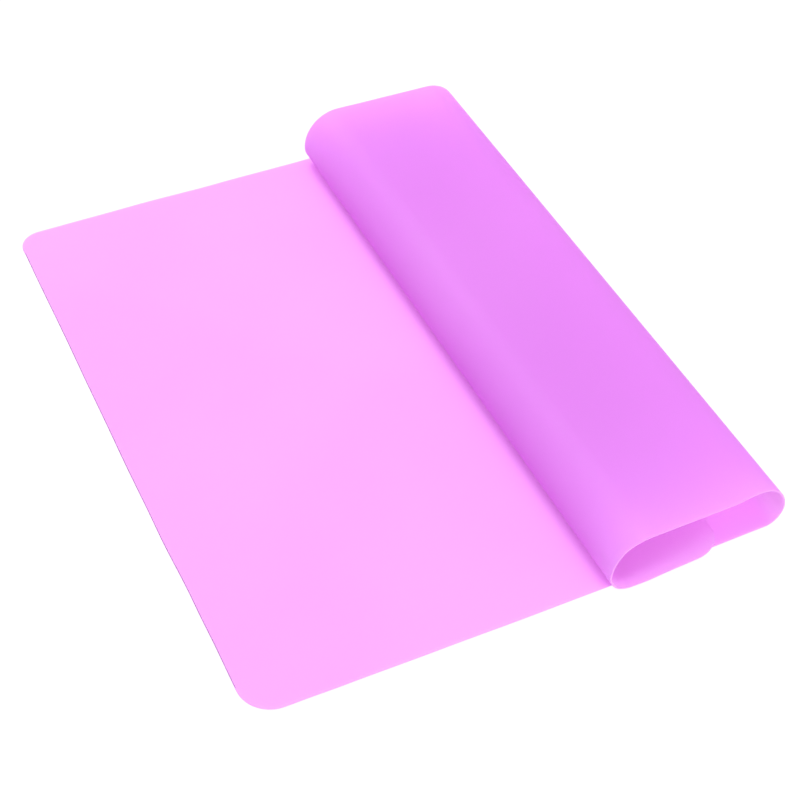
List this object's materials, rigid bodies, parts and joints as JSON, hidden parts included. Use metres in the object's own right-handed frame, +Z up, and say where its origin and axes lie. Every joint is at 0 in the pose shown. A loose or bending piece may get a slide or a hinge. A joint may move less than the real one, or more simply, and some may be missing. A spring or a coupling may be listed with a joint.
{
  "type": "silicone baking mat",
  "caption": "Thin plain silicone sheet with rounded corners, its end folded over and tucked under; it unfolds flat to line a baking tray or cover a worktop.",
  "frame": {"origin": "centre of the folded mat's box, on the surface that it lies on", "axes": "+Z up from the surface; +X along the mat's length, from the open edge towards the fold; +Y across the mat, along its short edges"},
  "size_m": [0.238, 0.3044, 0.028],
  "materials": {
    "silicone": "satin translucent lilac-pink silicone"
  },
  "bodies": {
    "lying_sheet": {"lying_sheet": "silicone"},
    "fold_bend_01": {"fold_bend_01": "silicone"},
    "fold_bend_02": {"fold_bend_02": "silicone"},
    "fold_bend_03": {"fold_bend_03": "silicone"},
    "fold_bend_04": {"fold_bend_04": "silicone"},
    "fold_bend_05": {"fold_bend_05": "silicone"},
    "fold_bend_06": {"fold_bend_06": "silicone"},
    "fold_bend_07": {"fold_bend_07": "silicone"},
    "fold_bend_08": {"fold_bend_08": "silicone"},
    "fold_bend_09": {"fold_bend_09": "silicone"},
    "fold_bend_10": {"fold_bend_10": "silicone"},
    "fold_bend_11": {"fold_bend_11": "silicone"},
    "fold_bend_12": {"fold_bend_12": "silicone"},
    "top_sheet": {"top_sheet": "silicone"},
    "curl_bend_01": {"curl_bend_01": "silicone"},
    "curl_bend_02": {"curl_bend_02": "silicone"},
    "curl_bend_03": {"curl_bend_03": "silicone"},
    "curl_bend_04": {"curl_bend_04": "silicone"},
    "curl_bend_05": {"curl_bend_05": "silicone"},
    "curl_bend_06": {"curl_bend_06": "silicone"},
    "curl_bend_07": {"curl_bend_07": "silicone"},
    "curl_bend_08": {"curl_bend_08": "silicone"},
    "curl_bend_09": {"curl_bend_09": "silicone"},
    "curl_bend_10": {"curl_bend_10": "silicone"},
    "curl_bend_11": {"curl_bend_11": "silicone"},
    "curl_bend_12": {"curl_bend_12": "silicone"},
    "tucked_end": {"tucked_end": "silicone"}
  },
  "joints": [
    {"name": "unfold", "type": "hinge", "parent": "lying_sheet", "child": "top_sheet", "pos_m": [0.12245, 0.00165, 0.01174], "axis": [-0.0222, 0.9998, 0], "range_deg": [0, 176.5]},
    {"name": "tucked_end_hinge", "type": "hinge", "parent": "top_sheet", "child": "tucked_end", "pos_m": [0.02225, -0.00266, 0.01424], "axis": [-0.0222, 0.9998, 0], "range_deg": [0, 191]},
    {"name": "fold_bend_01_hinge", "type": "hinge", "parent": "lying_sheet", "child": "fold_bend_01", "pos_m": [0.10751, 0.00217, 0], "axis": [-0.0222, 0.9998, 0], "range_deg": [0, 7.5]},
    {"name": "fold_bend_02_hinge", "type": "hinge", "parent": "lying_sheet", "child": "fold_bend_02", "pos_m": [0.10894, 0.00215, 0.00008], "axis": [-0.0222, 0.9998, 0], "range_deg": [0, 22.5]},
    {"name": "fold_bend_03_hinge", "type": "hinge", "parent": "lying_sheet", "child": "fold_bend_03", "pos_m": [0.11009, 0.00213, 0.00026], "axis": [-0.0222, 0.9998, 0], "range_deg": [0, 37.5]},
    {"name": "fold_bend_04_hinge", "type": "hinge", "parent": "lying_sheet", "child": "fold_bend_04", "pos_m": [0.11119, 0.00211, 0.00055], "axis": [-0.0222, 0.9998, 0], "range_deg": [0, 52.5]},
    {"name": "fold_bend_05_hinge", "type": "hinge", "parent": "lying_sheet", "child": "fold_bend_05", "pos_m": [0.11228, 0.00208, 0.00094], "axis": [-0.0222, 0.9998, 0], "range_deg": [0, 67.5]},
    {"name": "fold_bend_06_hinge", "type": "hinge", "parent": "lying_sheet", "child": "fold_bend_06", "pos_m": [0.11337, 0.00206, 0.00144], "axis": [-0.0222, 0.9998, 0], "range_deg": [0, 82.5]},
    {"name": "fold_bend_07_hinge", "type": "hinge", "parent": "top_sheet", "child": "fold_bend_07", "pos_m": [0.11132, 0.00197, 0.02149], "axis": [-0.0222, 0.9998, 0], "range_deg": [-79.29, 0]},
    {"name": "fold_bend_08_hinge", "type": "hinge", "parent": "top_sheet", "child": "fold_bend_08", "pos_m": [0.10926, 0.00183, 0.02255], "axis": [-0.0222, 0.9998, 0], "range_deg": [-64.88, 0]},
    {"name": "fold_bend_09_hinge", "type": "hinge", "parent": "top_sheet", "child": "fold_bend_09", "pos_m": [0.10718, 0.00169, 0.02341], "axis": [-0.0222, 0.9998, 0], "range_deg": [-50.46, 0]},
    {"name": "fold_bend_10_hinge", "type": "hinge", "parent": "top_sheet", "child": "fold_bend_10", "pos_m": [0.10505, 0.00155, 0.02408], "axis": [-0.0222, 0.9998, 0], "range_deg": [-36.04, 0]},
    {"name": "fold_bend_11_hinge", "type": "hinge", "parent": "top_sheet", "child": "fold_bend_11", "pos_m": [0.10284, 0.00141, 0.02458], "axis": [-0.0222, 0.9998, 0], "range_deg": [-21.62, 0]},
    {"name": "fold_bend_12_hinge", "type": "hinge", "parent": "top_sheet", "child": "fold_bend_12", "pos_m": [0.10006, 0.00125, 0.02496], "axis": [-0.0222, 0.9998, 0], "range_deg": [-7.21, 0]},
    {"name": "curl_bend_01_hinge", "type": "hinge", "parent": "top_sheet", "child": "curl_bend_01", "pos_m": [0.05008, -0.00106, 0.02793], "axis": [-0.0222, 0.9998, 0], "range_deg": [0, 7.79]},
    {"name": "curl_bend_02_hinge", "type": "hinge", "parent": "top_sheet", "child": "curl_bend_02", "pos_m": [0.04685, -0.00124, 0.02794], "axis": [-0.0222, 0.9998, 0], "range_deg": [0, 23.38]},
    {"name": "curl_bend_03_hinge", "type": "hinge", "parent": "top_sheet", "child": "curl_bend_03", "pos_m": [0.04425, -0.0014, 0.02766], "axis": [-0.0222, 0.9998, 0], "range_deg": [0, 38.96]},
    {"name": "curl_bend_04_hinge", "type": "hinge", "parent": "top_sheet", "child": "curl_bend_04", "pos_m": [0.04173, -0.00157, 0.02715], "axis": [-0.0222, 0.9998, 0], "range_deg": [0, 54.54]},
    {"name": "curl_bend_05_hinge", "type": "hinge", "parent": "top_sheet", "child": "curl_bend_05", "pos_m": [0.03923, -0.00173, 0.02639], "axis": [-0.0222, 0.9998, 0], "range_deg": [0, 70.13]},
    {"name": "curl_bend_06_hinge", "type": "hinge", "parent": "top_sheet", "child": "curl_bend_06", "pos_m": [0.03672, -0.00189, 0.02538], "axis": [-0.0222, 0.9998, 0], "range_deg": [0, 85.71]},
    {"name": "curl_bend_07_hinge", "type": "hinge", "parent": "tucked_end", "child": "curl_bend_07", "pos_m": [0.03427, -0.00205, 0.00221], "axis": [-0.0222, 0.9998, 0], "range_deg": [-89.38, 0]},
    {"name": "curl_bend_08_hinge", "type": "hinge", "parent": "tucked_end", "child": "curl_bend_08", "pos_m": [0.03563, -0.00208, 0.00173], "axis": [-0.0222, 0.9998, 0], "range_deg": [-73.13, 0]},
    {"name": "curl_bend_09_hinge", "type": "hinge", "parent": "tucked_end", "child": "curl_bend_09", "pos_m": [0.03699, -0.00211, 0.0014], "axis": [-0.0222, 0.9998, 0], "range_deg": [-56.88, 0]},
    {"name": "curl_bend_10_hinge", "type": "hinge", "parent": "tucked_end", "child": "curl_bend_10", "pos_m": [0.03834, -0.00213, 0.0012], "axis": [-0.0222, 0.9998, 0], "range_deg": [-40.63, 0]},
    {"name": "curl_bend_11_hinge", "type": "hinge", "parent": "tucked_end", "child": "curl_bend_11", "pos_m": [0.03973, -0.00216, 0.00113], "axis": [-0.0222, 0.9998, 0], "range_deg": [-24.38, 0]},
    {"name": "curl_bend_12_hinge", "type": "hinge", "parent": "tucked_end", "child": "curl_bend_12", "pos_m": [0.04143, -0.00218, 0.00122], "axis": [-0.0222, 0.9998, 0], "range_deg": [-8.13, 0]}
  ],
  "couplings": [
    {"joint": "tucked_end_hinge", "follows": "unfold", "ratio": 1.0822},
    {"joint": "fold_bend_01_hinge", "follows": "unfold", "ratio": 0.042493},
    {"joint": "fold_bend_02_hinge", "follows": "unfold", "ratio": 0.12748},
    {"joint": "fold_bend_03_hinge", "follows": "unfold", "ratio": 0.21246},
    {"joint": "fold_bend_04_hinge", "follows": "unfold", "ratio": 0.29745},
    {"joint": "fold_bend_05_hinge", "follows": "unfold", "ratio": 0.38244},
    {"joint": "fold_bend_06_hinge", "follows": "unfold", "ratio": 0.46742},
    {"joint": "fold_bend_07_hinge", "follows": "unfold", "ratio": -0.44925},
    {"joint": "fold_bend_08_hinge", "follows": "unfold", "ratio": -0.36756},
    {"joint": "fold_bend_09_hinge", "follows": "unfold", "ratio": -0.28588},
    {"joint": "fold_bend_10_hinge", "follows": "unfold", "ratio": -0.2042},
    {"joint": "fold_bend_11_hinge", "follows": "unfold", "ratio": -0.12252},
    {"joint": "fold_bend_12_hinge", "follows": "unfold", "ratio": -0.04084},
    {"joint": "curl_bend_01_hinge", "follows": "unfold", "ratio": 0.044145},
    {"joint": "curl_bend_02_hinge", "follows": "unfold", "ratio": 0.13244},
    {"joint": "curl_bend_03_hinge", "follows": "unfold", "ratio": 0.22073},
    {"joint": "curl_bend_04_hinge", "follows": "unfold", "ratio": 0.30902},
    {"joint": "curl_bend_05_hinge", "follows": "unfold", "ratio": 0.39731},
    {"joint": "curl_bend_06_hinge", "follows": "unfold", "ratio": 0.4856},
    {"joint": "curl_bend_07_hinge", "follows": "unfold", "ratio": -0.50637},
    {"joint": "curl_bend_08_hinge", "follows": "unfold", "ratio": -0.41431},
    {"joint": "curl_bend_09_hinge", "follows": "unfold", "ratio": -0.32224},
    {"joint": "curl_bend_10_hinge", "follows": "unfold", "ratio": -0.23017},
    {"joint": "curl_bend_11_hinge", "follows": "unfold", "ratio": -0.1381},
    {"joint": "curl_bend_12_hinge", "follows": "unfold", "ratio": -0.046034}
  ]
}
